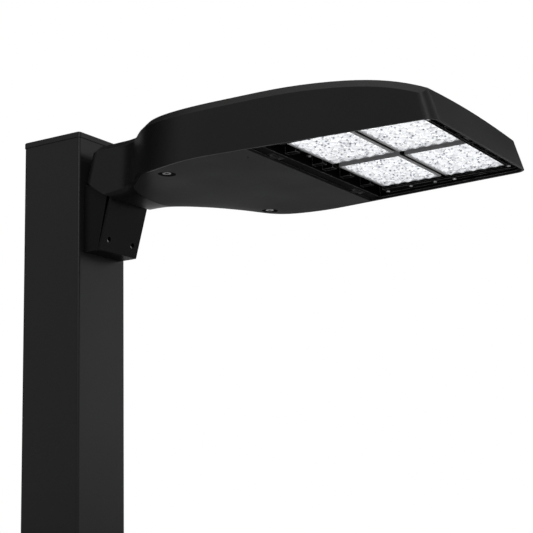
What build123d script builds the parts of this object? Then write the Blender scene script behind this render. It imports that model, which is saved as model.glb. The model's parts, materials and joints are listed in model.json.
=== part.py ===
from build123d import *
import os
from math import cos, radians, sin, sqrt, tan

# Area light on a square pole, in millimetres.
# The origin is the centre of the pole's lower end, +Z is up and the light reaches out along +X.

# Pole and its cap
pole_side = 101.6
pole_wall = 3.0
pole_corner = 4.0
pole_length = 612.0
cap_height = 8.0
cap_overhang = 1.0
cap_skirt = 14.0
cap_wall = 2.5
cap_clearance = 0.4
cap_bevel = 1.2

# Housing in plan, from the pole's face outwards
neck_gap = 2.5
neck_length = 86.0
flare_length = 117.8
bay_length = 138.7
neck_half = 48.0
throat_half = 52.0
hip_half = 172.0
neck_radius = 20.0
throat_radius = 50.0
hip_radius = 195.0
end_radius = 16.0

# Housing in height, from the rim plane upwards
rim_drop = 104.0
roof_height = 90.0
roof_fall = 38.0
crown_drop = 20.0
crown_half = 152.0
end_crown_drop = 4.0
fall_start = 10.0
roof_sections = 15
shoulder = 9.0
wall = 3.0
draft = 4.5
end_lean = 16.8
end_run = 14.0
heel_height = 43.0
heel_reach = 70.0
heel_sag = 2.5
heel_skew = 2.4
back_lean = 14.0
belly_edge_rise = 23.0
belly_rise = 1.5
neck_floor = 4.0
flat_start = 20.0
belly_sections = 12
belly_edge_bend = 0.87
belly_inner_bend = 0.45

# Light opening with two by two lens modules
strip_depth = 33.5
module_length = 86.0
module_width = 121.0
module_gap_x = 6.5
module_gap_y = 17.0
end_gap = 20.0
side_channel = 6.5
bezel_x = 3.0
bezel_y = 1.0
bezel_height = 8.0
bezel_step = 1.0
lens_columns = 5
lens_rows = 7
lens_radius = 7.2
lens_sag = 4.0
lens_plate = 2.5
lens_rim = 1.4
gasket_thickness = 0.8
chip_side = 3.5
chip_height = 1.0
board_thickness = 1.6
pad_thickness = 1.0
module_clearance = 0.2

# Tray that carries the modules
tray_clearance = 0.5
tray_wall = 2.5
tray_lip = 2.0
tray_floor = 4.0
floor_height = 18.0
ledge_height = 6.0
ledge_thickness = 2.5
ledge_clearance = 1.5
apron_gap = 2.4
apron_thickness = 1.5
apron_clearance = 0.6
vent_count = 6
vent_width = 7.0
vent_rib = 7.0
vent_margin = 16.0
vent_step = 4.0
lug_places = (-98.0, -33.0, -7.0, 39.0, 94.0)
lug_length = 15.0
lug_foot = 10.0
lug_thickness = 2.2
boss_places = (-119.0, -46.5, 12.0, 58.0, 112.0)
boss_radius = 4.0
boss_drop = 4.0
ledge_screw_places = (0.46, 0.87)
tray_screw_in = 2.5
tray_screw_out = 9.5
tray_end_screw = 10.5
tray_end_out = 6.0
tray_post_radius = 3.4
tray_head = 2.6
optic_screw_radius = 1.2
optic_screw_length = 2.4
optic_head = 2.4
optic_head_height = 1.6

# Door, its hinge and its captive screws
door_thickness = 3.0
door_gap = 0.7
door_end_gap = 1.2
door_free = 12.0
door_rib = 2.5
door_rib_height = 5.0
door_rib_inset = 9.0
hinge_out = 7.0
hinge_up = 6.0
hinge_half = 104.0
knuckle_length = 14.0
knuckle_radius = 4.5
ear_thickness = 5.0
ear_gap = 0.5
pin_radius = 2.0
pin_clearance = 0.1
bay_wall_out = 12.0
bay_wall_up = 12.0
screw_inset = 50.0
screw_back = 3.0
recess_radius = 11.5
recess_depth = 5.5
recess_wall = 2.5
captive_radius = 3.0
captive_head = 5.5
captive_head_height = 4.0
captive_play = 0.4
captive_grip = 6.0
clip_groove = 2.4
clip_thickness = 1.0
clip_radius = 5.0
clip_mouth = 1.9
boss_up = 13.0
boss_wide = 7.5
boss_hole = 4.3
boss_bore = 11.0
weep_radius = 1.5
weep_back = 17.0
y_weep = 127.5

# Arm bracket
bracket_half = 40.5
bracket_drop = 59.5
bracket_foot = 24.5
bracket_lean = 12.4
bracket_rise = 36.0
bracket_back = 6.0
bracket_wall = 4.0
bracket_gap = 0.3
pocket_top = 2.0
cover_lean = 16.0
cover_thickness = 4.0
cover_clearance = 0.3
cover_screw_half = 26.0
cover_screw_up = 16.0
cover_boss = 5.0
cover_sink = 2.4
cover_head = 3.4
cover_head_height = 1.6
cover_screw_grip = 4.0

# Fasteners
pole_bolt_radius = 5.0
pole_bolt_pitch = 36.0
pole_bolt_drop = 8.0
bolt_tip = 3.0
hex_across = 1.7
hex_height = 1.3
washer_radius = 9.0
washer_thickness = 2.0
nut_plate_thickness = 6.0
wire_radius = 7.0
neck_bolt_radius = 4.0
neck_bolt_half = 22.0
neck_bolt_out = 34.0
pad_height = 33.0
pad_back = 20.0
pad_front = 16.0
grommet_radius = 8.0
grommet_lip = 2.5
grommet_bore = 6.0
small_screw = 2.0
small_head = 3.4
fit = 0.3
tap_fit = 0.1

# How far trimming shapes reach past the part
beyond = 60.0
overlap = 1.0
sliver = 0.05

# Electrical parts in the bay
gear_height = 54.0
gear_thickness = 1.5
gear_length = 150.0
gear_margin = 4.5
gear_clearance = 16.0
gear_corner = 6.0
gear_screw_inset = 8.0
gear_screw_length = 8.0
post_radius = 5.0
driver_length = 165.0
driver_width = 62.0
driver_height = 36.0
driver_tab = 9.0
driver_inset = 10.0
driver_bevel = 5.0
driver_screw_length = 5.0
block_length = 52.0
block_width = 24.0
block_height = 20.0
block_poles = 3
block_bevel = 2.0
block_gap = 20.0
surge_length = 56.0
surge_width = 34.0
surge_height = 28.0
surge_corner = 5.0
surge_bevel = 1.5
surge_gap = 15.0
bay_middle_gap = 8.0

# Places that follow from the sizes
gear_half = driver_length / 2 + driver_tab + gear_margin
x_face = pole_side / 2
x_neck = x_face + neck_gap
x_throat = x_neck + neck_length
x_hip = x_throat + flare_length
x_door = x_hip + bay_length
x_modules = x_door + strip_depth
x_well_end = x_modules + 2 * module_length + module_gap_x
x_end = x_well_end + end_gap + wall
well_half = module_gap_y / 2 + module_width
end_half = well_half + side_channel + wall
x_flat = x_hip + flat_start
x_free = x_throat + door_free
x_hinge = x_door + hinge_out
x_bay_wall = x_door + bay_wall_out
x_screw = x_hip - screw_back
y_screw = hip_half - screw_inset
z_rim = pole_length - rim_drop
z_hinge = z_rim + hinge_up
form_height = roof_height + crown_drop
x_fall = x_door + fall_start


def bounds(x0, x1, y0, y1, z0, z1):
    """A block between two opposite corners."""
    return Pos((x0 + x1) / 2, (y0 + y1) / 2, (z0 + z1) / 2) * Box(x1 - x0, y1 - y0, z1 - z0)


def post(x, y, z0, z1, radius):
    """An upright cylinder."""
    return Pos(x, y, (z0 + z1) / 2) * Cylinder(radius, z1 - z0)


def bar_x(x0, x1, y, z, radius):
    """A cylinder along X."""
    return Pos((x0 + x1) / 2, y, z) * Rot(0, 90, 0) * Cylinder(radius, x1 - x0)


def bar_y(x, y0, y1, z, radius):
    """A cylinder along Y."""
    return Pos(x, (y0 + y1) / 2, z) * Rot(90, 0, 0) * Cylinder(radius, y1 - y0)


def side_profile(points, half):
    """An outline in the XZ plane, pulled to the same distance on both sides."""
    return extrude(make_face(Plane.XZ * Polyline(*points, close=True)), half, both=True)


# Housing form


def plan_corners(inset, height, run):
    """Corners of the plan at a height, drawn in by an inset and by the draft, with the end run on."""
    lean = height * tan(radians(draft))
    shrink = inset + lean
    back = x_neck + (height - heel_height) * tan(radians(back_lean)) - lean
    front = x_end - height * tan(radians(end_lean)) + lean + run
    side_slope = (hip_half - end_half) / (x_end - x_hip)
    front_half = end_half + (x_end - front) * side_slope
    half = [(back, neck_half), (x_throat, throat_half), (x_hip, hip_half), (front, front_half)]
    corners = [Vector(x, -y) for x, y in half] + [Vector(x, y) for x, y in reversed(half)]
    moved = []
    for before, here, after in zip(corners[-1:] + corners[:-1], corners, corners[1:] + corners[:1]):
        along_in = (here - before).normalized()
        along_out = (after - here).normalized()
        normal_in = Vector(-along_in.Y, along_in.X)
        normal_out = Vector(-along_out.Y, along_out.X)
        mitre = shrink / (1 + normal_in.dot(normal_out))
        moved.append(here + (normal_in + normal_out) * mitre)
    return moved, shrink


def plan(inset, height, run):
    """The housing's plan at a height above the rim plane, as a face with rounded corners."""
    corners, shrink = plan_corners(inset, height, run)
    outward = [max(r - shrink, 1.0) for r in (neck_radius, hip_radius, end_radius)]
    radii = [outward[0], throat_radius + shrink, outward[1], outward[2]]
    edge = FilletPolyline(*corners, radius=radii + radii[::-1], close=True)
    return Pos(0, 0, z_rim + height) * make_face(edge)


def walls(inset, run):
    """The drafted form inside the housing's plan, drawn in by an inset, with its end run on."""
    return loft([plan(inset, 0, run), plan(inset, form_height, run)], ruled=True)


def cross_section(x, middle, edge, half, floor):
    """Upright section across the light at x, with an arc on top from edge to middle to edge."""
    plane = Plane(origin=(x, 0, 0), x_dir=(0, 1, 0), z_dir=(1, 0, 0))
    ends = (-half, edge), (half, edge)
    top = ThreePointArc(ends[0], (0, middle), ends[1])
    sides = Polyline((half, edge), (half, floor), (-half, floor), (-half, edge))
    return plane * make_face(top + sides)


def under_roof(drop):
    """All the space under the crowned roof, which is lowered by a drop."""
    half = hip_half + beyond / 3
    spread = (half / crown_half) ** 2
    step = (x_end + 2 * end_run - x_face + beyond) / roof_sections
    sections = []
    for index in range(roof_sections + 1):
        x = x_face - beyond + index * step
        t = max(0.0, (x - x_fall) / (x_end - x_fall))
        across = crown_drop + (end_crown_drop - crown_drop) * min(t * t, 1.0)
        fall = roof_fall * t * t * (1 - t + t * t)
        middle = z_rim + roof_height - crown_drop - fall - drop + across
        sections.append(cross_section(x, middle, middle - across * spread, half, z_rim - beyond))
    return loft(sections)


def hull_section(x, middle, edge, half, floor):
    """Upright section across the light at x, level in the middle and bent up to both edges."""
    plane = Plane(origin=(x, 0, 0), x_dir=(0, 1, 0), z_dir=(1, 0, 0))
    bends = (-belly_edge_bend, -belly_inner_bend, belly_inner_bend, belly_edge_bend)
    bowl = Bezier((-half, edge), *[(bend * half, middle) for bend in bends], (half, edge))
    wide = half + beyond / 3
    rest = Polyline((half, edge), (wide, edge), (wide, floor), (-wide, floor), (-wide, edge), (-half, edge))
    return plane * make_face(bowl + rest)


def belly_space():
    """All the space below the underside, which is flat under the bay and bends up at the neck's sides."""
    floor = z_rim - beyond
    x0 = x_face - beyond / 2
    sections = []
    for index in range(belly_sections + 1):
        x = x0 + (x_flat - x0) * index / belly_sections
        s = min(1.0, (x_flat - x) / (x_flat - x_throat))
        t = s * s * (3 - 2 * s)
        along = min(1.0, max(0.0, (x - x_throat) / flare_length))
        half = throat_half + (hip_half - throat_half) * along + overlap
        middle = z_rim + belly_rise * t
        sections.append(hull_section(x, middle, z_rim + belly_edge_rise * t, half, floor))
    wide = hip_half + beyond / 4
    return loft(sections) + bounds(x_flat, x_end + beyond, -wide, wide, floor, z_rim)


def under_belly(lift):
    """The space below the underside, raised by a lift."""
    return Pos(0, 0, lift) * belly


def under_heel(shift_x, shift_z):
    """The space below and behind the neck's rounded heel."""
    toe = (x_face + heel_reach, z_rim + belly_rise)
    heel = (x_neck, z_rim + heel_height)
    middle = ((toe[0] + heel[0]) / 2 - heel_skew, (toe[1] + heel[1]) / 2 - heel_sag)
    behind = x_face - beyond
    floor = z_rim - beyond
    rest = Polyline(heel, (behind, heel[1]), (behind, floor), (toe[0], floor), toe)
    face = make_face(Plane.XZ * (ThreePointArc(toe, middle, heel) + rest))
    return Pos(shift_x, 0, shift_z) * extrude(face, hip_half, both=True)


def form(inset, drop):
    """The housing's outer form above the rim plane, drawn in by an inset and lowered by a drop.

    The shoulder is cut on a form whose end runs on, so that it stops at the leaning end wall.
    """
    body = walls(inset, end_run) & under_roof(drop)
    upward = body.faces().filter_by(lambda face: face.normal_at(face.center()).Z > 0.5)
    bevel = shoulder - inset * (2 - sqrt(2))
    shouldered = chamfer(upward.sort_by(SortBy.AREA)[-1].edges(), bevel)
    return shouldered & walls(inset - sliver, 0)


def slab(x0, x1, low, high):
    """All the space between two places along the light and two heights above the rim plane."""
    return bounds(x0, x1, -hip_half, hip_half, z_rim + low, z_rim + high)


belly = belly_space()
outer_form = form(0, 0) - under_belly(0) - under_heel(0, 0)
lowered_form = Pos(0, 0, -bracket_gap) * outer_form


# Pole


def pole_shaft():
    bore = pole_side - 2 * pole_wall
    section = RectangleRounded(pole_side, pole_side, pole_corner)
    section -= RectangleRounded(bore, bore, pole_corner - pole_wall)
    return extrude(section, pole_length) - face_holes(x_face - pole_wall - overlap, x_face + overlap, fit)


def pole_cap():
    outside = pole_side + 2 * cap_overhang
    inside = pole_side - 2 * pole_wall
    plug = inside - 2 * cap_clearance
    lid = extrude(RectangleRounded(outside, outside, pole_corner + cap_overhang), cap_height)
    lid = chamfer(lid.faces().sort_by(Axis.Z)[-1].edges(), cap_bevel)
    skirt = extrude(RectangleRounded(plug, plug, pole_corner - pole_wall), -cap_skirt)
    room = plug - 2 * cap_wall
    hollow = Pos(0, 0, -cap_skirt) * extrude(Rectangle(room, room), cap_skirt + cap_height - cap_wall)
    return Pos(0, 0, pole_length) * (lid + skirt - hollow)


# Arm bracket and its fasteners


def bolt_heights():
    top = z_rim - pole_bolt_drop
    return (top, top - pole_bolt_pitch)


def face_holes(x0, x1, clearance):
    """Bolt holes and the wire hole through what stands on the pole's face."""
    holes = bar_x(x0, x1, 0, sum(bolt_heights()) / 2, wire_radius)
    for z in bolt_heights():
        holes += bar_x(x0, x1, 0, z, pole_bolt_radius + clearance)
    return holes


def leaning_front(foot, lean, depth):
    """Side outline of a leaning slab whose back starts at the foot, as far as the neck."""
    z0 = z_rim - bracket_drop
    z1 = z_rim + belly_edge_rise
    reach = foot + (z1 - z0) * tan(radians(lean))
    corners = [(foot, z0), (foot + depth, z0), (reach + depth, z1), (reach, z1)]
    return [(x_face + x, z) for x, z in corners]


def neck_holes(z0, z1, clearance):
    """Bolt holes and the wire hole through the neck's floor and the bracket's top."""
    holes = post(x_face + neck_bolt_out, 0, z0, z1, grommet_radius + clearance)
    for side in (-1, 1):
        holes += post(x_face + neck_bolt_out, side * neck_bolt_half, z0, z1, neck_bolt_radius + clearance)
    return holes


def arm_bracket():
    z0 = z_rim - bracket_drop
    z1 = z_rim + bracket_rise
    front = leaning_front(bracket_foot, bracket_lean, 0)
    outline = [(x_face, z0), front[0], front[2], (x_neck, z1), (x_face, z1)]
    body = side_profile(outline, bracket_half) - lowered_form
    x_pocket = x_face + bracket_back
    half = bracket_half - bracket_wall
    pocket = bounds(x_pocket, x_throat, -half, half, z0 + bracket_wall, z_rim + pocket_top)
    bosses = Part()
    for side in (-1, 1):
        y = side * cover_screw_half
        z = z0 + cover_screw_up
        bosses += bar_x(x_pocket, x_throat, y, z, cover_boss)
        bosses -= bar_x(x_pocket, x_throat, y, z, small_screw + tap_fit)
    bosses -= side_profile(leaning_front(bracket_foot, cover_lean, x_throat), bracket_half)
    body = body - pocket + bosses
    body -= face_holes(x_face - overlap, x_pocket + overlap, fit)
    return body - neck_holes(z_rim, z1, tap_fit)


def cover_screw_place():
    """Where the cover's outside is on the axis of its screws."""
    lean = cover_screw_up * tan(radians(cover_lean))
    x = x_face + bracket_foot + cover_clearance + cover_thickness + lean
    return x, z_rim - bracket_drop + cover_screw_up


def arm_cover():
    outline = leaning_front(bracket_foot + cover_clearance, cover_lean, cover_thickness)
    plate = side_profile(outline, bracket_half - cover_clearance)
    plate -= Pos(0, 0, -cover_clearance) * lowered_form
    x, z = cover_screw_place()
    for side in (-1, 1):
        y = side * cover_screw_half
        plate -= bar_x(x - cover_sink, x + cover_thickness, y, z, cover_head + fit)
        plate -= bar_x(x - 2 * cover_thickness, x, y, z, small_screw + fit)
    return plate


def arm_cover_screws():
    x, z = cover_screw_place()
    screws = Part()
    for side in (-1, 1):
        y = side * cover_screw_half
        head = bar_x(x - cover_sink, x - cover_sink + cover_head_height, y, z, cover_head)
        x_tip = x - cover_sink - cover_thickness - cover_screw_grip
        screws += head + bar_x(x_tip, x - cover_sink, y, z, small_screw)
    return screws


def pole_bolts():
    x_head = x_face + bracket_back + washer_thickness
    x_tip = x_face - pole_wall - nut_plate_thickness - bolt_tip
    bolts = Part()
    for z in bolt_heights():
        hexagon = Plane.YZ * RegularPolygon(pole_bolt_radius * hex_across, 6)
        bolts += Pos(x_head, 0, z) * extrude(hexagon, pole_bolt_radius * hex_height)
        bolts += bar_x(x_tip, x_head, 0, z, pole_bolt_radius)
    return bolts


def bolt_washers():
    x0 = x_face + bracket_back
    washers = Part()
    for z in bolt_heights():
        washers += bar_x(x0, x0 + washer_thickness, 0, z, washer_radius)
    return washers - face_holes(x0 - overlap, x0 + washer_thickness + overlap, fit)


def nut_plate():
    x1 = x_face - pole_wall
    margin = pole_bolt_radius * 3
    half = pole_bolt_pitch / 2 + margin
    z = sum(bolt_heights()) / 2
    plate = bounds(x1 - nut_plate_thickness, x1, -margin, margin, z - half, z + half)
    plate = chamfer(plate.edges().filter_by(Axis.X), pole_bolt_radius)
    return plate - face_holes(x1 - nut_plate_thickness - overlap, x1 + overlap, tap_fit)


def neck_bolts():
    z_head = z_rim + pad_height
    bolts = Part()
    for side in (-1, 1):
        y = side * neck_bolt_half
        hexagon = Pos(x_face + neck_bolt_out, y, z_head) * RegularPolygon(neck_bolt_radius * hex_across, 6)
        bolts += extrude(hexagon, neck_bolt_radius * hex_height)
        bolts += post(x_face + neck_bolt_out, y, z_rim + pocket_top, z_head, neck_bolt_radius)
    return bolts


def wire_grommet():
    x = x_face + neck_bolt_out
    z = z_rim + pad_height
    bush = post(x, 0, z_rim + pocket_top, z, grommet_radius)
    bush += post(x, 0, z, z + grommet_lip, grommet_radius + grommet_lip)
    return bush - post(x, 0, z_rim, z + beyond, grommet_bore)


# Housing


def hinge_ear(y):
    """One lug of the hinge, hung from the bay wall, with a bore for the pin."""
    half = ear_thickness / 2
    eye = bar_y(x_hinge, y - half, y + half, z_hinge, knuckle_radius)
    z1 = z_rim + bay_wall_up + knuckle_radius
    arm = bounds(x_hinge - knuckle_radius, x_bay_wall + wall, y - half, y + half, z_hinge, z1)
    bore = bar_y(x_hinge, y - half - overlap, y + half + overlap, z_hinge, pin_radius + pin_clearance / 2)
    return eye + arm - bore


def ear_places():
    offset_y = knuckle_length / 2 + ear_gap + ear_thickness / 2
    return [side * hinge_half + step for side in (-1, 1) for step in (-offset_y, offset_y)]


def tray_screw_places():
    """Where the tray is screwed up into the housing: along both sides and beside the end."""
    slope = (hip_half - end_half) / (x_end - x_hip)
    places = []
    inset = wall + tray_clearance + tray_wall
    for x in (x_modules + tray_screw_in, x_modules + module_length + module_gap_x + tray_screw_out):
        half = end_half + slope * (x_end - x) - inset
        places.append((x, (half + well_half + ledge_clearance) / 2))
    places.append((x_well_end + tray_end_out, well_half - tray_end_screw))
    return [(x, side * y) for x, y in places for side in (-1, 1)]


def gear_post_places():
    x0, x1 = gear_extent()
    y = gear_half - gear_screw_inset
    return [(x, side * y) for x in (x0 + gear_screw_inset, x1 - gear_screw_inset) for side in (-1, 1)]


def housing():
    neck_side = slab(x_face - beyond, x_free - door_end_gap, -beyond, form_height)
    cavity = form(wall, wall) - (under_belly(neck_floor) & neck_side) - under_heel(wall, wall)
    shell = outer_form - cavity
    fixings = slab(x_bay_wall, x_bay_wall + wall, bay_wall_up, form_height)
    for y in ear_places():
        fixings += hinge_ear(y)
    top = z_rim + form_height
    for side in (-1, 1):
        fixings += post(x_screw, side * y_screw, z_rim + boss_up, top, boss_wide)
        fixings -= post(x_screw, side * y_screw, z_rim, z_rim + boss_up + boss_bore, boss_hole)
    for x, y in tray_screw_places():
        fixings += post(x, y, z_rim + ledge_height + ledge_thickness, top, tray_post_radius)
        fixings -= post(x, y, z_rim, z_rim + floor_height, small_screw + tap_fit)
    for x, y in gear_post_places():
        fixings += post(x, y, z_rim + gear_height + gear_thickness, top, post_radius)
        fixings -= post(x, y, z_rim, z_rim + gear_height + gear_screw_length, small_screw + tap_fit)
    x_pad = x_face + neck_bolt_out
    fixings += slab(x_pad - pad_back, x_pad + pad_front, 0, pad_height)
    body = shell + (fixings & outer_form)
    return body - neck_holes(z_rim, z_rim + pad_height + overlap, fit)


def hinge_pins():
    half = knuckle_length / 2 + ear_gap + ear_thickness
    pins = Part()
    for side in (-1, 1):
        y = side * hinge_half
        pins += bar_y(x_hinge, y - half, y + half, z_hinge, pin_radius)
    return pins


# Door and its captive screws


def access_door():
    extent = slab(x_free, x_door, -overlap, beyond)
    skin = walls(wall + door_gap, 0) & extent & under_belly(door_thickness)
    skin -= under_belly(0)
    inset = wall + door_rib_inset
    outer = slab(x_free + door_rib_inset, x_door - door_rib_inset, 0, beyond)
    step = door_rib_inset + door_rib
    inner = slab(x_free + step, x_door - step, 0, beyond)
    ring = (walls(inset, 0) & outer) - (walls(inset + door_rib, 0) & inner)
    middle = door_rib / 2
    for y in (-y_screw / 2, y_screw / 2):
        ring += bounds(x_flat + door_rib, x_door - step, y - middle, y + middle, z_rim, z_rim + beyond)
    ribs = (ring & under_belly(door_thickness + door_rib_height)) - under_belly(door_thickness / 2)
    door = skin + ribs
    for side in (-1, 1):
        y = side * y_screw
        door += post(x_screw, y, z_rim, z_rim + recess_depth + recess_wall, recess_radius + recess_wall)
        door -= post(x_screw, y, z_rim - overlap, z_rim + recess_depth, recess_radius)
        door -= post(x_screw, y, z_rim, z_rim + beyond, captive_radius + captive_play)
        half = knuckle_length / 2
        y = side * hinge_half
        low = z_hinge - knuckle_radius
        door += bounds(x_door - hinge_out, x_hinge, y - half, y + half, low, z_hinge + pin_radius)
        door += bar_y(x_hinge, y - half, y + half, z_hinge, knuckle_radius)
        door -= bar_y(x_hinge, y - half - overlap, y + half + overlap, z_hinge, pin_radius + pin_clearance)
    door -= post(x_door - weep_back, -y_weep, z_rim - overlap, z_rim + beyond, weep_radius)
    return door - under_belly(0)


def captive_screw(side):
    y = side * y_screw
    seat = z_rim + recess_depth
    clip = seat + recess_wall + captive_play
    screw = post(x_screw, y, seat - captive_head_height, seat, captive_head)
    screw += post(x_screw, y, seat, z_rim + boss_up + captive_grip, captive_radius)
    groove = post(x_screw, y, clip, clip + clip_thickness + captive_play / 2, captive_radius + overlap)
    screw -= groove - post(x_screw, y, clip, clip + captive_grip, clip_groove)
    socket = Pos(x_screw, y, seat - captive_head_height) * RegularPolygon(captive_radius, 6)
    return screw - extrude(socket, captive_head_height / 2)


def e_clip(side):
    y = side * y_screw
    z0 = z_rim + recess_depth + recess_wall + captive_play * 1.25
    z1 = z0 + clip_thickness
    ring = post(x_screw, y, z0, z1, clip_radius) - post(x_screw, y, z0, z1, clip_groove + pin_clearance)
    return ring - bounds(x_screw, x_screw + clip_radius, y - clip_mouth, y + clip_mouth, z0, z1)


# Light opening


def tray_apron(inset, x1):
    """Flange that hides the hinge between the door's edge and the tray, notched around both hinges."""
    x0 = x_door + apron_gap
    apron = walls(inset, 0) & slab(x0, x1, tray_lip, tray_lip + apron_thickness)
    x_notch = x_hinge + knuckle_radius + apron_clearance
    half = knuckle_length / 2 + ear_gap + ear_thickness + apron_clearance
    for y in (-hinge_half, hinge_half):
        apron -= bounds(x0 - overlap, x_notch, y - half, y + half, z_rim, z_rim + floor_height)
    return apron


def optic_tray():
    x0 = x_bay_wall + wall + tray_clearance
    inset = wall + tray_clearance
    top = floor_height + tray_floor
    tray = walls(inset, 0) & slab(x0, x_end, tray_lip, top)
    tray -= walls(inset + tray_wall, 0) & slab(x0 + tray_wall, x_end, 0, floor_height)
    tray += tray_apron(inset, x0 + tray_wall)
    ledge = walls(inset + tray_wall / 2, 0) & slab(
        x_modules - ledge_clearance, x_end, ledge_height, ledge_height + ledge_thickness
    )
    half = well_half + ledge_clearance
    ledge -= bounds(x_door, x_well_end + ledge_clearance, -half, half, z_rim, z_rim + floor_height)
    tray += ledge
    first = vent_margin - well_half
    pitch = (vent_rib - 2 * first) / vent_count
    x_vent = x_well_end + ledge_clearance + vent_step
    for index in range(vent_count):
        y = first + index * pitch
        tray -= bounds(x_vent, x_vent + vent_width, y, y + pitch - vent_rib, z_rim, z_rim + floor_height)
    x1 = x0 + tray_wall + lug_length
    for y in lug_places:
        foot = z_rim + ledge_height
        tray += bounds(x0 + overlap, x1, y, y + lug_thickness, foot, z_rim + floor_height + overlap)
        tray += bounds(x0 + overlap, x1, y, y + lug_foot, foot, foot + lug_thickness)
        tray += bounds(x1 - lug_thickness, x1, y, y + lug_foot, foot, foot + 2 * lug_thickness)
    for x, y, z in optic_screw_places():
        if z > z_rim + ledge_height:
            tray += post(x, y, z, z_rim + floor_height + overlap, boss_radius)
        tray -= post(x, y, z - overlap, z + optic_screw_length, optic_screw_radius + tap_fit)
    for x, y in tray_screw_places():
        tray -= post(x, y, z_rim, z_rim + floor_height, small_screw + fit)
        z_ledge = z_rim + ledge_height + ledge_thickness
        tray -= post(x, y, z_ledge, z_rim + top + overlap, tray_post_radius + fit)
    return tray


def optic_screw_places():
    """Small screws: on bosses in the strip beside the door, and on the side ledges."""
    x = x_bay_wall + wall + tray_clearance + tray_wall + boss_radius
    places = [(x, y, z_rim + floor_height - boss_drop) for y in boss_places]
    y = well_half + ledge_clearance + boss_radius
    for part in ledge_screw_places:
        x = x_modules + part * module_length
        places += [(x, -y, z_rim + ledge_height), (x, y, z_rim + ledge_height)]
    return places


def optic_screws():
    screws = Part()
    for x, y, z in optic_screw_places():
        screws += post(x, y, z - optic_head_height, z, optic_head)
        screws += post(x, y, z, z + optic_screw_length, optic_screw_radius)
    return screws


def tray_screws():
    z = z_rim + ledge_height
    screws = Part()
    for x, y in tray_screw_places():
        screws += post(x, y, z - small_screw, z, tray_head)
        screws += post(x, y, z, z_rim + floor_height, small_screw)
    return screws


def module_centres():
    """Centres of the four modules: near and far, then inner and outer."""
    y = (module_gap_y + module_width) / 2
    x0 = x_modules + module_length / 2
    return [(x, side * y) for x in (x0, x0 + module_length + module_gap_x) for side in (-1, 1)]


def layer(centre, margin, low, high):
    """A plate of a module between two heights above the rim plane, inside its bezel by a margin."""
    length = module_length - 2 * (bezel_x + margin)
    width = module_width - 2 * (bezel_y + margin)
    x, y = centre
    return Pos(x, y, z_rim + (low + high) / 2) * Box(length, width, high - low)


pad_low = floor_height - pad_thickness
board_low = pad_low - board_thickness
lens_top = board_low - gasket_thickness
lens_low = floor_height - bezel_height + bezel_step


def lens_frame(centre):
    """Bezel ring around one lens plate, seated on the tray's floor."""
    x, y = centre
    low = floor_height - bezel_height
    ring = Pos(x, y, z_rim + (low + floor_height) / 2) * Box(module_length, module_width, bezel_height)
    return ring - layer(centre, 0, low, floor_height)


def lens_centres(centre):
    """Places of one module's lenses."""
    length = module_length - 2 * (bezel_x + lens_rim)
    width = module_width - 2 * (bezel_y + lens_rim)
    x, y = centre
    grid = []
    for column in range(lens_columns):
        for row in range(lens_rows):
            step_x = (column + 0.5) / lens_columns - 0.5
            step_y = (row + 0.5) / lens_rows - 0.5
            grid.append((x + step_x * length, y + step_y * width))
    return grid


def lens_array(centre):
    """Clear plate with a grid of domes, standing on the board by a rim."""
    plate = layer(centre, module_clearance, lens_low, lens_top)
    plate -= layer(centre, lens_rim, lens_low + lens_plate, lens_top)
    ball = (lens_radius**2 + lens_sag**2) / (2 * lens_sag)
    half_way = (ball * sin(0.5), ball - lens_sag - ball * cos(0.5))
    arc = ThreePointArc((lens_radius, 0), half_way, (0, -lens_sag))
    dome = revolve(Plane.XZ * make_face(arc + Polyline((0, -lens_sag), (0, 0), (lens_radius, 0))), Axis.Z)
    domes = [Pos(x, y, z_rim + lens_low) * dome for x, y in lens_centres(centre)]
    return plate + domes


def led_board(centre):
    return layer(centre, module_clearance, board_low, pad_low)


def led_chips():
    chips = []
    for centre in module_centres():
        for x, y in lens_centres(centre):
            z = z_rim + board_low - chip_height / 2
            chips.append(Pos(x, y, z) * Box(chip_side, chip_side, chip_height))
    return Part() + chips


def optic_gaskets():
    rings = Part()
    for centre in module_centres():
        ring = layer(centre, module_clearance, lens_top, board_low)
        rings += ring - layer(centre, lens_rim, lens_top, board_low)
    return rings


def thermal_pads():
    pads = [layer(centre, module_clearance, pad_low, floor_height) for centre in module_centres()]
    return Part() + pads


# Electrical parts in the bay


def gear_extent():
    x1 = x_bay_wall - gear_clearance
    return x1 - gear_length, x1


def driver_tabs():
    x = gear_extent()[1] - driver_width / 2 - driver_inset
    y = driver_length / 2 + driver_tab / 2
    return [(x, -y), (x, y)]


def gear_plate():
    x0, x1 = gear_extent()
    z = z_rim + gear_height
    plate = bounds(x0, x1, -gear_half, gear_half, z, z + gear_thickness)
    plate = chamfer(plate.edges().filter_by(Axis.Z), gear_corner)
    for x, y in gear_post_places() + driver_tabs():
        plate -= post(x, y, z, z + gear_thickness, small_screw + fit)
    return plate


def plate_screws(places, seat, height):
    """Pan-head screws whose heads hang below a seat."""
    screws = Part()
    for x, y in places:
        screws += post(x, y, seat - small_screw, seat, small_head)
        screws += post(x, y, seat, seat + height, small_screw)
    return screws


def led_driver():
    """Sealed metal case with bevelled long edges and a screw tab at each end."""
    x = driver_tabs()[0][0]
    z1 = z_rim + gear_height
    half = driver_length / 2
    case = bounds(x - driver_width / 2, x + driver_width / 2, -half, half, z1 - driver_height, z1)
    case = chamfer(case.faces().sort_by(Axis.Z)[0].edges().filter_by(Axis.Y), driver_bevel)
    tab_half = driver_width / 4
    long_half = half + driver_tab
    tabs = bounds(x - tab_half, x + tab_half, -long_half, long_half, z1 - gear_thickness, z1)
    case += tabs
    for place in driver_tabs():
        case -= post(*place, z1 - gear_thickness, z1, small_screw + fit)
    return case


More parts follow.
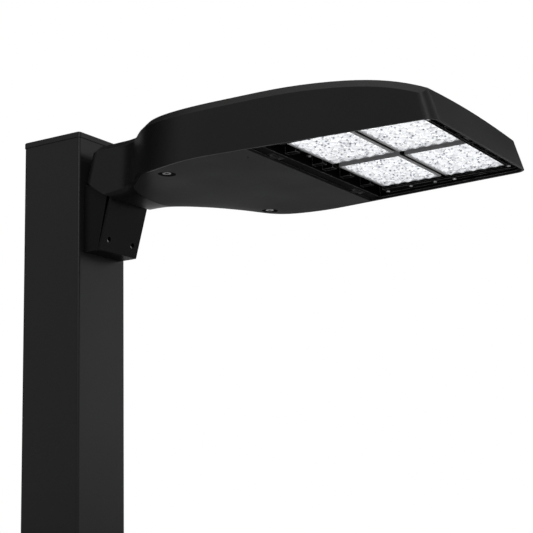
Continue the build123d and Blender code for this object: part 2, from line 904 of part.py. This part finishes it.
def terminal_block():
    """Push-in wire connector with an open port for each pole on its underside."""
    x1 = driver_tabs()[0][0] - driver_width / 2 - block_gap
    z1 = z_rim + gear_height
    y0 = -block_length - bay_middle_gap
    block = bounds(x1 - block_width, x1, y0, -bay_middle_gap, z1 - block_height, z1)
    block = chamfer(block.faces().sort_by(Axis.Z)[0].edges(), block_bevel)
    pitch = block_length / block_poles
    for pole in range(block_poles):
        y = y0 + (pole + 0.5) * pitch
        for x in (x1 - block_width / 4, x1 - block_width * 3 / 4):
            block -= post(x, y, z1 - block_height, z1 - block_height / 2, block_width / 8)
    return block


def surge_protector():
    """Potted block with rounded upright edges."""
    x1 = driver_tabs()[0][0] - driver_width / 2 - surge_gap
    z1 = z_rim + gear_height
    y1 = bay_middle_gap + surge_length
    case = bounds(x1 - surge_width, x1, bay_middle_gap, y1, z1 - surge_height, z1)
    case = fillet(case.edges().filter_by(Axis.Z), surge_corner)
    return chamfer(case.faces().sort_by(Axis.Z)[0].edges(), surge_bevel)


# Each sub-part is written to its own file
nodes = {
    "pole_shaft": pole_shaft(),
    "pole_cap": pole_cap(),
    "arm_bracket": arm_bracket(),
    "arm_cover": arm_cover(),
    "arm_cover_screws": arm_cover_screws(),
    "pole_bolts": pole_bolts(),
    "bolt_washers": bolt_washers(),
    "nut_plate": nut_plate(),
    "neck_bolts": neck_bolts(),
    "wire_grommet": wire_grommet(),
    "housing": housing(),
    "hinge_pins": hinge_pins(),
    "access_door": access_door(),
    "captive_screw_near": captive_screw(-1),
    "captive_screw_far": captive_screw(1),
    "e_clip_near": e_clip(-1),
    "e_clip_far": e_clip(1),
    "optic_tray": optic_tray(),
    "optic_screws": optic_screws(),
    "tray_screws": tray_screws(),
    "led_chips": led_chips(),
    "optic_gaskets": optic_gaskets(),
    "thermal_pads": thermal_pads(),
    "gear_plate": gear_plate(),
    "gear_plate_screws": plate_screws(gear_post_places(), z_rim + gear_height, gear_screw_length),
    "led_driver": led_driver(),
    "driver_screws": plate_screws(driver_tabs(), z_rim + gear_height - gear_thickness, driver_screw_length),
    "terminal_block": terminal_block(),
    "surge_protector": surge_protector(),
}
for number, centre in enumerate(module_centres(), 1):
    nodes[f"lens_frame_{number}"] = lens_frame(centre)
    nodes[f"lens_array_{number}"] = lens_array(centre)
    nodes[f"led_board_{number}"] = led_board(centre)

os.makedirs("parts", exist_ok=True)
for name, solid in nodes.items():
    export_step(solid, f"parts/{name}.step")
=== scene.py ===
import json
from math import pi, radians

import bmesh
import bpy
from mathutils import Matrix, Vector


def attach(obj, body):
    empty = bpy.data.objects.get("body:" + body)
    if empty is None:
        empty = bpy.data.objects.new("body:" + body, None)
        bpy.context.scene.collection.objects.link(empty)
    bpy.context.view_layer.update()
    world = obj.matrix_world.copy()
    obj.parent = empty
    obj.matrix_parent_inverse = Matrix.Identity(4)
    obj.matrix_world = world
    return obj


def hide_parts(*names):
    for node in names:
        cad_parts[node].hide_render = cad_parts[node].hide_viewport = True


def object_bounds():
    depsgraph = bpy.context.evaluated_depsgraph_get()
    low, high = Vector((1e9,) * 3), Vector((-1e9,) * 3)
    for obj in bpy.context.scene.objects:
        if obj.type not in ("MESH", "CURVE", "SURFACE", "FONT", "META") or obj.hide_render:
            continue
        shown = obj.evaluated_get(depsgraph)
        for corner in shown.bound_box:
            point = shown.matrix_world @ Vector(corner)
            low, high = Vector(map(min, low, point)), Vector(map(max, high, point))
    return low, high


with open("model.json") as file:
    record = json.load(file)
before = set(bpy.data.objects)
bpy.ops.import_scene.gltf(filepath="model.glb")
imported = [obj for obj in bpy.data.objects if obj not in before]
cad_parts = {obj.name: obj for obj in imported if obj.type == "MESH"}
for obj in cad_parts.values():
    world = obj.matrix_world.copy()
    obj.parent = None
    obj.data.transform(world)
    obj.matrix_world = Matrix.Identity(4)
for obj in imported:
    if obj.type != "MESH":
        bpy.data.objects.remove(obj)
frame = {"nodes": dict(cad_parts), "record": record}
cad_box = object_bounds()
slot_of = {entry["node"]: entry["material_slot"] for entry in frame["record"]["subparts"]}
scene = bpy.context.scene

# Camera: focal length and frame in millimetres, place in metres and turns in degrees
camera_lens = 88.83
camera_frame = 36.0
camera_place = (1.20268, -1.41440, 0.07026)
camera_yaw = 31.897
camera_pitch = 11.226
camera_roll = -1.331

# Soft lamps: place from the middle of the light's top, width and height in metres, and power in watts
top_softbox = ((0.0, -1.1, 2.1), 2.2, 1.8, 13.0)
side_softbox = ((2.0, 1.9, 0.5), 1.6, 1.8, 5.0)
strip_softbox = ((1.5, -1.7, 1.2), 0.5, 2.0, 32.0)

# Dark cards: place from the middle of the light's top, width and height in metres
pole_flag = ((-2.2, 0.0, 0.5), 2.4, 1.8)
end_flag = ((0.35, 2.2, 1.4), 1.8, 1.4)
roof_flag = ((-1.7, 0.8, 2.0), 1.8, 1.8)
flare_flag = ((-1.5, 1.8, 0.75), 1.5, 1.2)

# Floor, in metres: half its width, and how far out it starts to fade into the backdrop
floor_half = 4.0
floor_fade = 2.0

# Levels of the backdrop as light, the boards, the light-emitting chips, and the lens plates' painted glow
world_level = 0.4
board_level = 0.45
chip_level = 0.3
lens_painted_glow = 0.16

# Patterns, in waves per metre: tone drift, dust patches, patches of the edges' wear and painted highlight,
# steel patches and scratches
drift_scale = 7.0
dust_scale = 14.0
wear_scale = 90.0
patch_scale = 160.0
scratch_scale = 2600.0

# The part of a noise texture's range that holds most of its values
noise_range = (0.3, 0.7)

# How much rougher a full cover of dust makes a coat, and how many samples soften an edge
dust_dulling = 4.0
edge_samples = 6

# The door's hinge knuckles are painted black as painted shade in the hinge: how far before the pins' middle,
# over what length, in what colour
hinge_shade_reach = 0.0055
hinge_shade_edge = 0.001
hinge_shade_black = (0.0005, 0.0005, 0.0005, 1)

# Pale lip along the foot of a bezel's end, in metres: its height and the soft edge above it, where the end's
# painted shade begins
lip_tall = 0.0015
lip_edge = 0.0003

# Screw heads: sides of the head, and parts of its height and radius
head_sides = 24
rim_part = 0.55
crown_scale = 0.82
socket_part = 0.6
lobe_scale = 0.74
socket_deep = 0.7
socket_taper = 0.9
crease_angle = 35

# Height of the head and radius of the shank of each kind of screw, in metres
optic_screw = (0.0016, 0.0012)
tray_screw = (0.002, 0.002)
arm_cover_screw = (0.0016, 0.002)

# Vertices of a CAD mesh that are closer than this are one
weld_distance = 1e-6


# Shader nodes


def feed(tree, socket, value):
    """A socket fed by another socket or set to a plain value."""
    if isinstance(value, bpy.types.NodeSocket):
        tree.links.new(value, socket)
    else:
        socket.default_value = value


def object_place(tree):
    """The place on the piece, in its own frame."""
    return tree.nodes.new("ShaderNodeTexCoord").outputs["Object"]


def face_normal(tree):
    """The way the surface faces."""
    return tree.nodes.new("ShaderNodeNewGeometry").outputs["Normal"]


def split_vector(tree, vector):
    """The X, Y and Z of a vector."""
    node = tree.nodes.new("ShaderNodeSeparateXYZ")
    tree.links.new(vector, node.inputs[0])
    return node.outputs


def math_node(tree, operation, first, second):
    """A math node's output."""
    node = tree.nodes.new("ShaderNodeMath")
    node.operation = operation
    feed(tree, node.inputs[0], first)
    feed(tree, node.inputs[1], second)
    return node.outputs[0]


def product(tree, first, second, third):
    """Three values multiplied."""
    return math_node(tree, "MULTIPLY", math_node(tree, "MULTIPLY", first, second), third)


def noise_node(tree, scale, detail):
    """A noise texture's value at the place on the piece."""
    node = tree.nodes.new("ShaderNodeTexNoise")
    tree.links.new(object_place(tree), node.inputs["Vector"])
    feed(tree, node.inputs["Scale"], scale)
    node.inputs["Detail"].default_value = detail
    return node.outputs["Fac"]


def map_node(tree, value, old_range, new_range=(0.0, 1.0)):
    """A value moved from one range to another."""
    node = tree.nodes.new("ShaderNodeMapRange")
    for socket, number in zip(("From Min", "From Max", "To Min", "To Max"), (*old_range, *new_range)):
        feed(tree, node.inputs[socket], number)
    tree.links.new(value, node.inputs["Value"])
    return node.outputs["Result"]


def mix_colour(tree, factor, first, second, blend="MIX"):
    """Two colours mixed by a factor."""
    node = tree.nodes.new("ShaderNodeMix")
    node.data_type = "RGBA"
    node.blend_type = blend
    for place, value in ((0, factor), (6, first), (7, second)):
        feed(tree, node.inputs[place], value)
    return node.outputs[2]


# Shader groups


def new_group(name, inputs, outputs):
    """An empty shader group with named sockets, its inputs and its outputs."""
    group = bpy.data.node_groups.new(name, "ShaderNodeTree")
    for socket, value in inputs.items():
        kind = "NodeSocketColor" if isinstance(value, tuple) else "NodeSocketFloat"
        group.interface.new_socket(socket, in_out="INPUT", socket_type=kind).default_value = value
    for socket in outputs:
        kind = "NodeSocketColor" if socket == "Color" else "NodeSocketFloat"
        group.interface.new_socket(socket, in_out="OUTPUT", socket_type=kind)
    return group, group.nodes.new("NodeGroupInput").outputs, group.nodes.new("NodeGroupOutput").inputs


def coat_grain_group():
    """Powder coat: broad tone drift, fine orange-peel height and uneven gloss."""
    dark = (0.02, 0.02, 0.02, 1)
    inputs = {"Color": dark, "Grain": 900.0, "Drift": 0.12, "Speckle": 0.17, "Roughness": 0.5}
    group, given, out = new_group("coat_grain", inputs, ("Color", "Roughness", "Height"))
    broad = noise_node(group, drift_scale, 4.0)
    fine = noise_node(group, given["Grain"], 2.0)
    darkest = math_node(group, "SUBTRACT", 1.0, given["Drift"])
    brightest = math_node(group, "ADD", 1.0, given["Drift"])
    tone = map_node(group, broad, noise_range, (darkest, brightest))
    least = math_node(group, "SUBTRACT", 1.0, given["Speckle"])
    most = math_node(group, "ADD", 1.0, given["Speckle"])
    speckle = map_node(group, fine, (0.3, 0.72), (least, most))
    level = math_node(group, "MULTIPLY", tone, speckle)
    group.links.new(mix_colour(group, 1.0, given["Color"], level, "MULTIPLY"), out["Color"])
    gloss = map_node(group, broad, noise_range, (-0.05, 0.06))
    group.links.new(math_node(group, "ADD", given["Roughness"], gloss), out["Roughness"])
    group.links.new(fine, out["Height"])
    return group


def settled_dust_group():
    """Pale dust that lies in patches on faces that look up."""
    inputs = {"Color": (0.02, 0.02, 0.02, 1), "Dust": (0.22, 0.21, 0.19, 1), "Amount": 0.1}
    group, given, out = new_group("settled_dust", inputs, ("Color", "Mask"))
    upward = map_node(group, split_vector(group, face_normal(group))["Z"], (0.35, 0.95))
    patch = map_node(group, noise_node(group, dust_scale, 6.0), (0.38, 0.72), (0.25, 1.0))
    mask = product(group, upward, patch, given["Amount"])
    group.links.new(mix_colour(group, mask, given["Color"], given["Dust"]), out["Color"])
    group.links.new(mask, out["Mask"])
    return group


def worn_edge_highlight_group():
    """Edges made paler in patches: wear and a painted highlight."""
    inputs = {"Color": (0.02, 0.02, 0.02, 1), "Worn": (0.06, 0.06, 0.06, 1), "Radius": 0.001, "Amount": 0.3}
    group, given, out = new_group("worn_edge_highlight", inputs, ("Color",))
    rounded = group.nodes.new("ShaderNodeBevel")
    rounded.samples = edge_samples
    group.links.new(given["Radius"], rounded.inputs["Radius"])
    apart = group.nodes.new("ShaderNodeVectorMath")
    apart.operation = "DOT_PRODUCT"
    group.links.new(rounded.outputs["Normal"], apart.inputs[0])
    group.links.new(face_normal(group), apart.inputs[1])
    edge = map_node(group, apart.outputs["Value"], (0.97, 0.8))
    patch = map_node(group, noise_node(group, wear_scale, 3.0), (0.3, 0.65), (0.35, 1.0))
    mask = product(group, edge, patch, given["Amount"])
    group.links.new(mix_colour(group, mask, given["Color"], given["Worn"]), out["Color"])
    return group


def turned_steel_group():
    """Bright metal: fine scratches and darker patches."""
    inputs = {"Color": (0.6, 0.6, 0.6, 1), "Roughness": 0.3}
    group, given, out = new_group("turned_steel", inputs, ("Color", "Roughness", "Height"))
    patch = noise_node(group, patch_scale, 4.0)
    scratch = noise_node(group, scratch_scale, 1.0)
    tone = map_node(group, patch, noise_range, (0.78, 1.1))
    group.links.new(mix_colour(group, 1.0, given["Color"], tone, "MULTIPLY"), out["Color"])
    gloss = map_node(group, scratch, noise_range, (-0.08, 0.1))
    group.links.new(math_node(group, "ADD", given["Roughness"], gloss), out["Roughness"])
    group.links.new(scratch, out["Height"])
    return group


def lens_speck_group():
    """Small grey specks of uneven strength that a lit lens plate shows on and between its lenses."""
    inputs = {"Color": (1.0, 1.0, 1.0, 1), "Speck": (0.05, 0.06, 0.09, 1), "Scale": 240.0, "Amount": 1.0}
    group, given, out = new_group("lens_speck", inputs, ("Color",))
    cells = group.nodes.new("ShaderNodeTexVoronoi")
    group.links.new(object_place(group), cells.inputs["Vector"])
    group.links.new(given["Scale"], cells.inputs["Scale"])
    dots = map_node(group, cells.outputs["Distance"], (0.2, 0.5), (1.0, 0.0))
    strength = map_node(group, split_vector(group, cells.outputs["Color"])["X"], (0.1, 0.55), (0.15, 1.0))
    mask = product(group, dots, strength, given["Amount"])
    group.links.new(mix_colour(group, mask, given["Color"], given["Speck"]), out["Color"])
    return group


def painted_shade_sides_group():
    """A face that looks down, with sides painted darker and ends painted dark above a pale lower lip up to a
    height, as painted shade.
    """
    dark = (0.02, 0.02, 0.02, 1)
    pale = (0.4, 0.4, 0.4, 1)
    inputs = {"Color": pale, "Side": dark, "Lip": pale, "End": dark, "Height": 0.0}
    group, given, out = new_group("painted_shade_sides", inputs, ("Color",))
    facing = split_vector(group, face_normal(group))
    lip_top = math_node(group, "ADD", given["Height"], lip_edge)
    above = map_node(group, split_vector(group, object_place(group))["Z"], (given["Height"], lip_top))
    shaded_end_tone = mix_colour(group, above, given["Lip"], given["End"])
    at_end = map_node(group, math_node(group, "ABSOLUTE", facing["X"], 0.0), (0.5, 0.9))
    upright = mix_colour(group, at_end, given["Side"], shaded_end_tone)
    turned_up = map_node(group, facing["Z"], (-0.9, -0.5))
    group.links.new(mix_colour(group, turned_up, given["Color"], upright), out["Color"])
    return group


coat_grain = coat_grain_group()
settled_dust = settled_dust_group()
worn_edge_highlight = worn_edge_highlight_group()
turned_steel = turned_steel_group()
lens_speck = lens_speck_group()
painted_shade_sides = painted_shade_sides_group()


# Materials


def new_material(name):
    """A node material, its nodes and its surface shader."""
    made = bpy.data.materials.new(name)
    made.use_nodes = True
    return made, made.node_tree, made.node_tree.nodes["Principled BSDF"]


def place_group(tree, group, **values):
    """A shader group in a material, with its own values."""
    node = tree.nodes.new("ShaderNodeGroup")
    node.node_tree = group
    for socket, value in values.items():
        feed(tree, node.inputs[socket], value)
    return node.outputs


def bump(tree, shader, height, strength, distance, edge):
    """Relief on a surface whose sharp edges are softened by an edge radius."""
    relief = tree.nodes.new("ShaderNodeBump")
    relief.inputs["Strength"].default_value = strength
    relief.inputs["Distance"].default_value = distance
    tree.links.new(height, relief.inputs["Height"])
    if edge:
        softened = tree.nodes.new("ShaderNodeBevel")
        softened.samples = edge_samples
        softened.inputs["Radius"].default_value = edge
        tree.links.new(softened.outputs["Normal"], relief.inputs["Normal"])
    tree.links.new(relief.outputs["Normal"], shader.inputs["Normal"])


def coat(name, colour, roughness, specular, drift=0.12, dust=0.0, edge=0.0007, worn_highlight=(0.06, 0.25), hinge_shade_from=None):
    """Powder-coated metal, which may be painted black beyond a place along X as painted shade."""
    made, tree, shader = new_material(name)
    film = place_group(tree, coat_grain, Color=(*colour, 1), Drift=drift, Roughness=roughness)
    dusty = place_group(tree, settled_dust, Color=film["Color"], Amount=dust)
    # Paler edges: wear in patches and a painted highlight
    tone, amount = worn_highlight
    rubbed_highlight = place_group(tree, worn_edge_highlight, Color=dusty["Color"], Worn=(tone, tone, tone, 1), Amount=amount)
    outer = rubbed_highlight["Color"]
    # Beyond that place along X the coat is painted black, as painted shade in the hinge
    if hinge_shade_from:
        hinge_shade = map_node(tree, split_vector(tree, object_place(tree))["X"], (hinge_shade_from, hinge_shade_from + hinge_shade_edge))
        outer = mix_colour(tree, hinge_shade, outer, hinge_shade_black)
    tree.links.new(outer, shader.inputs["Base Color"])
    dulled = math_node(tree, "MULTIPLY", dusty["Mask"], dust_dulling)
    tree.links.new(math_node(tree, "ADD", film["Roughness"], dulled), shader.inputs["Roughness"])
    shader.inputs["Specular IOR Level"].default_value = specular
    bump(tree, shader, film["Height"], strength=0.12, distance=0.0002, edge=edge)
    return made


def steel(name, colour, roughness):
    """Bare or plated steel."""
    made, tree, shader = new_material(name)
    metal = place_group(tree, turned_steel, Color=(*colour, 1), Roughness=roughness)
    tree.links.new(metal["Color"], shader.inputs["Base Color"])
    tree.links.new(metal["Roughness"], shader.inputs["Roughness"])
    shader.inputs["Metallic"].default_value = 1.0
    bump(tree, shader, metal["Height"], strength=0.05, distance=0.0001, edge=0.0002)
    return made


def glowing(name, colour, level):
    """A lit surface with a slight unevenness."""
    made, tree, shader = new_material(name)
    colour = (*colour, 1)
    film = place_group(tree, coat_grain, Color=colour, Grain=700.0, Drift=0.04, Speckle=0.05, Roughness=0.45)
    tree.links.new(film["Color"], shader.inputs["Base Color"])
    tree.links.new(film["Color"], shader.inputs["Emission Color"])
    tree.links.new(film["Roughness"], shader.inputs["Roughness"])
    shader.inputs["Emission Strength"].default_value = level
    return made


def bezel(name, colour, shaded_side, lip, shaded_ends, height):
    """Moulded bezel with sides painted darker and ends painted dark above a pale lip up to a height, as
    painted shade between the frames.
    """
    made, tree, shader = new_material(name)
    colour = (*colour, 1)
    film = place_group(tree, coat_grain, Color=colour, Grain=1200.0, Drift=0.06, Speckle=0.06, Roughness=0.45)
    tones = {"Side": (*shaded_side, 1), "Lip": (*lip, 1), "End": (*shaded_ends, 1)}
    edges = place_group(tree, painted_shade_sides, Color=film["Color"], Height=height, **tones)
    tree.links.new(edges["Color"], shader.inputs["Base Color"])
    tree.links.new(film["Roughness"], shader.inputs["Roughness"])
    shader.inputs["Specular IOR Level"].default_value = 0.3
    bump(tree, shader, film["Height"], strength=0.1, distance=0.0001, edge=0.0003)
    return made


def clear_lens(name, colour, level):
    """Clear moulded plastic, lit from behind, with small specks and a painted glow of its own."""
    made, tree, shader = new_material(name)
    colour = (*colour, 1)
    film = place_group(tree, coat_grain, Color=colour, Grain=500.0, Drift=0.02, Speckle=0.03, Roughness=0.08)
    specks = place_group(tree, lens_speck, Color=film["Color"])
    tree.links.new(specks["Color"], shader.inputs["Base Color"])
    tree.links.new(specks["Color"], shader.inputs["Emission Color"])
    tree.links.new(film["Roughness"], shader.inputs["Roughness"])
    # The lens plate's emission is a painted glow that lifts its darker parts
    shader.inputs["Emission Strength"].default_value = level
    shader.inputs["Transmission Weight"].default_value = 1.0
    shader.inputs["IOR"].default_value = 1.49
    return made


# The door's coat is painted black from here along X, as painted shade in its hinge knuckles
pin_ends = [corner[0] for corner in frame["nodes"]["hinge_pins"].bound_box]
hinge_shade_start = (min(pin_ends) + max(pin_ends)) / 2 - hinge_shade_reach
# Above this height, the top of its pale lip, a bezel's end is painted dark as painted shade
lip_height = min(corner[2] for corner in frame["nodes"]["lens_frame_1"].bound_box) + lip_tall

finishes = {
    # The door has the housing's black powder coat; its base is painted lighter, as painted light on its
    # underside
    "pole_coat": coat("pole_coat", (0.007, 0.007, 0.0072), 0.32, 0.13, dust=0.06),
    "arm_coat": coat("arm_coat", (0.0032, 0.0032, 0.0033), 0.4, 0.052, dust=0.05),
    "housing_coat": coat("housing_coat", (0.0045, 0.0045, 0.0047), 0.38, 0.11, dust=0.05),
    "door_coat": coat("door_coat", (0.0142, 0.0142, 0.0145), 0.55, 0.073, hinge_shade_from=hinge_shade_start),
    # The tray's strong paler edges are mostly a painted highlight along its lugs
    "tray_black": coat("tray_black", (0.0015, 0.0015, 0.0015), 0.6, 0.01, edge=0.0003, worn_highlight=(0.25, 0.9)),
    # The bezel's sides and its ends above the lip are painted darker as painted shade between the frames
    "bezel_grey": bezel(
        "bezel_grey",
        colour=(0.27, 0.27, 0.28),
        shaded_side=(0.24, 0.24, 0.25),
        lip=(0.6, 0.6, 0.61),
        shaded_ends=(0.01, 0.01, 0.01),
        height=lip_height,
    ),
    "lens_clear": clear_lens("lens_clear", (0.97, 0.98, 1.0), lens_painted_glow),
    "board_white": glowing("board_white", (1.0, 1.0, 1.0), board_level),
    "led_phosphor": glowing("led_phosphor", (1.0, 0.97, 0.86), chip_level),
    "screw_steel": steel("screw_steel", (0.62, 0.62, 0.62), 0.28),
    # Darker steel for the door's screws: painted shade of their recesses
    "recess_shaded_steel": steel("recess_shaded_steel", (0.26, 0.26, 0.265), 0.2),
    "bolt_steel": steel("bolt_steel", (0.45, 0.45, 0.44), 0.4),
    "spring_steel": steel("spring_steel", (0.5, 0.5, 0.5), 0.3),
    "seal_rubber": coat("seal_rubber", (0.012, 0.012, 0.012), 0.8, 0.2, edge=0.0),
    "pad_grey": coat("pad_grey", (0.35, 0.4, 0.45), 0.8, 0.2, drift=0.06, edge=0.0),
    "plate_zinc": steel("plate_zinc", (0.55, 0.57, 0.58), 0.42),
    "driver_case": steel("driver_case", (0.68, 0.68, 0.68), 0.45),
    "terminal_plastic": coat("terminal_plastic", (0.72, 0.66, 0.5), 0.5, 0.4, drift=0.04),
    "surge_plastic": coat("surge_plastic", (0.02, 0.02, 0.022), 0.5, 0.4),
}

# The door's screws sit deep in their recesses; their steel is painted darker than the others' as painted
# shade of the recesses
finish_of = {**slot_of, "captive_screw_near": "recess_shaded_steel", "captive_screw_far": "recess_shaded_steel"}
for name, node in frame["nodes"].items():
    node.data.materials.clear()
    node.data.materials.append(finishes[finish_of[name]])


# Small pieces


def mesh_of(name, shape):
    """A mesh made from a bmesh, which is freed."""
    mesh = bpy.data.meshes.new(name)
    shape.to_mesh(mesh)
    shape.free()
    return mesh


def add_piece(name, shape, slot, body, node):
    """A finished mesh piece in place of a CAD node, riding on a body."""
    bmesh.ops.recalc_face_normals(shape, faces=shape.faces)
    mesh = mesh_of(name, shape)
    mesh.materials.append(finishes[slot])
    mesh.shade_smooth()
    mesh.set_sharp_from_angle(angle=radians(crease_angle))
    piece = bpy.data.objects.new(name, mesh)
    scene.collection.objects.link(piece)
    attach(piece, body)
    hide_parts(node)


def solid_boxes(name):
    """Lowest and highest corner of each separate solid of a CAD node."""
    shape = bmesh.new()
    shape.from_mesh(frame["nodes"][name].data)
    bmesh.ops.remove_doubles(shape, verts=shape.verts, dist=weld_distance)
    reached = set()
    boxes = []
    for first in shape.verts:
        if first in reached:
            continue
        reached.add(first)
        island = [first]
        for vert in island:
            for edge in vert.link_edges:
                other = edge.other_vert(vert)
                if other not in reached:
                    reached.add(other)
                    island.append(other)
        sides = [[vert.co[axis] for vert in island] for axis in range(3)]
        boxes.append((Vector(map(min, sides)), Vector(map(max, sides))))
    shape.free()
    return boxes


def pulled_face(shape, face, rise, scale):
    """A cap face pulled out along Z and scaled about its middle; gives back the new cap."""
    middle = face.calc_center_median()
    out = bmesh.ops.extrude_face_region(shape, geom=[face])["geom"]
    verts = [item for item in out if isinstance(item, bmesh.types.BMVert)]
    bmesh.ops.scale(shape, verts=verts, vec=(scale, scale, 1), space=Matrix.Translation(-middle))
    bmesh.ops.translate(shape, verts=verts, vec=(0, 0, rise))
    return next(item for item in out if isinstance(item, bmesh.types.BMFace))


def lobed_screw(shape, place, head_radius, head_height, shank_radius, shank_length):
    """A screw with a crowned head that faces +Z, a six-lobed socket and a plain shank.

    The place turns it and puts the underside of its head where it sits.
    """
    screw = bmesh.new()
    bmesh.ops.create_circle(screw, cap_ends=True, radius=head_radius, segments=head_sides)
    base = next(iter(screw.faces))
    top = pulled_face(screw, base, head_height * rim_part, 1.0)
    top = pulled_face(screw, top, head_height * (1 - rim_part), crown_scale)
    top = pulled_face(screw, top, 0.0, socket_part)
    inward = [vert for number, vert in enumerate(top.verts) if number % 4 < 2]
    bmesh.ops.scale(screw, verts=inward, vec=(lobe_scale, lobe_scale, 1))
    pulled_face(screw, top, -head_height * socket_deep, socket_taper)
    base = min(screw.faces, key=lambda face: face.calc_center_median().z)
    base = pulled_face(screw, base, 0.0, shank_radius / head_radius)
    pulled_face(screw, base, -shank_length, 1.0)
    bmesh.ops.transform(screw, matrix=place, verts=screw.verts)
    mesh = mesh_of("screw", screw)
    shape.from_mesh(mesh)
    bpy.data.meshes.remove(mesh)


def screw_group(node, turn, head_height, shank_radius):
    """Screws in place of a CAD node's plain ones; their heads face along the turned Z."""
    shape = bmesh.new()
    facing = turn @ Vector((0, 0, 1))
    along = max(range(3), key=lambda axis: abs(facing[axis]))
    across = (along + 1) % 3
    for low_corner, high_corner in solid_boxes(node):
        middle = (low_corner + high_corner) / 2
        size = high_corner - low_corner
        seat = middle + facing * (size[along] / 2 - head_height)
        place = Matrix.Translation(seat) @ turn.to_4x4()
        lobed_screw(shape, place, size[across] / 2, head_height, shank_radius, size[along] - head_height)
    add_piece(node + "_lobed", shape, "screw_steel", "mast", node)


head_down = Matrix.Rotation(pi, 3, "X")
head_out = Matrix.Rotation(pi / 2, 3, "Y")
screw_group("optic_screws", head_down, *optic_screw)
screw_group("tray_screws", head_down, *tray_screw)
screw_group("arm_cover_screws", head_out, *arm_cover_screw)


# Stage


def backdrop_world():
    """White to the camera and in reflections, softer as light."""
    world = bpy.data.worlds.new("backdrop")
    scene.world = world
    world.use_nodes = True
    tree = world.node_tree
    shade = tree.nodes["Background"]
    shade.inputs["Color"].default_value = (1, 1, 1, 1)
    path = tree.nodes.new("ShaderNodeLightPath").outputs
    seen = math_node(tree, "MAXIMUM", path["Is Camera Ray"], path["Is Glossy Ray"])
    seen = math_node(tree, "MAXIMUM", seen, path["Is Transmission Ray"])
    tree.links.new(map_node(tree, seen, (0.0, 1.0), (world_level, 1.0)), shade.inputs["Strength"])


def stage_sheet(name, width, height, place, finish):
    """A flat sheet of the stage at a place."""
    shape = bmesh.new()
    bmesh.ops.create_grid(shape, x_segments=1, y_segments=1, size=0.5)
    bmesh.ops.scale(shape, verts=shape.verts, vec=(width, height, 1))
    bmesh.ops.transform(shape, matrix=place, verts=shape.verts)
    mesh = mesh_of(name, shape)
    mesh.materials.append(finish)
    sheet = bpy.data.objects.new(name, mesh)
    scene.collection.objects.link(sheet)
    return sheet


def floor_pale():
    """A pale floor that fades into the backdrop towards its edge."""
    made, tree, shader = new_material("floor_pale")
    film = place_group(tree, coat_grain, Color=(0.86, 0.86, 0.86, 1), Grain=40.0, Drift=0.01, Speckle=0.012)
    tree.links.new(film["Color"], shader.inputs["Base Color"])
    shader.inputs["Roughness"].default_value = 0.9
    reach = tree.nodes.new("ShaderNodeVectorMath")
    reach.operation = "LENGTH"
    tree.links.new(object_place(tree), reach.inputs[0])
    fade = map_node(tree, reach.outputs["Value"], (floor_fade, floor_half), (1.0, 0.0))
    tree.links.new(fade, shader.inputs["Alpha"])
    return made


def soft_lamp(name, offset, width, height, power):
    """A rectangular soft lamp that faces the light's top."""
    data = bpy.data.lights.new(name, "AREA")
    data.shape = "RECTANGLE"
    data.size = width
    data.size_y = height
    data.energy = power
    lamp = bpy.data.objects.new(name, data)
    lamp.location = light_top + Vector(offset)
    lamp.rotation_euler = (-Vector(offset)).to_track_quat("-Z", "Y").to_euler()
    scene.collection.objects.link(lamp)


def dark_flag(offset, width, height):
    """A black card that the camera can't see; it darkens the reflections on the sides that face it."""
    turn = (-Vector(offset)).to_track_quat("Z", "Y").to_matrix().to_4x4()
    place = Matrix.Translation(light_top + Vector(offset)) @ turn
    flag = stage_sheet("flag", width, height, place, finishes["tray_black"])
    flag.visible_camera = False


low, high = (Vector(corner) for corner in cad_box)
light_top = Vector(((low.x + high.x) / 2, 0.0, high.z))
backdrop_world()
stage_sheet("floor", 2 * floor_half, 2 * floor_half, Matrix.Identity(4), floor_pale())
soft_lamp("top_softbox", *top_softbox)
soft_lamp("side_softbox", *side_softbox)
soft_lamp("strip_softbox", *strip_softbox)
for flag_size in (pole_flag, end_flag, roof_flag, flare_flag):
    dark_flag(*flag_size)


# Camera

camera_data = bpy.data.cameras.new("camera")
camera_data.sensor_width = camera_frame
camera_data.lens = camera_lens
camera = bpy.data.objects.new("camera", camera_data)
yaw = Matrix.Rotation(radians(camera_yaw), 4, "Z")
pitch = Matrix.Rotation(radians(90 + camera_pitch), 4, "X")
roll = Matrix.Rotation(radians(camera_roll), 4, "Z")
camera.matrix_world = Matrix.Translation(camera_place) @ yaw @ pitch @ roll
scene.collection.objects.link(camera)
scene.camera = camera
scene.view_settings.view_transform = "Standard"
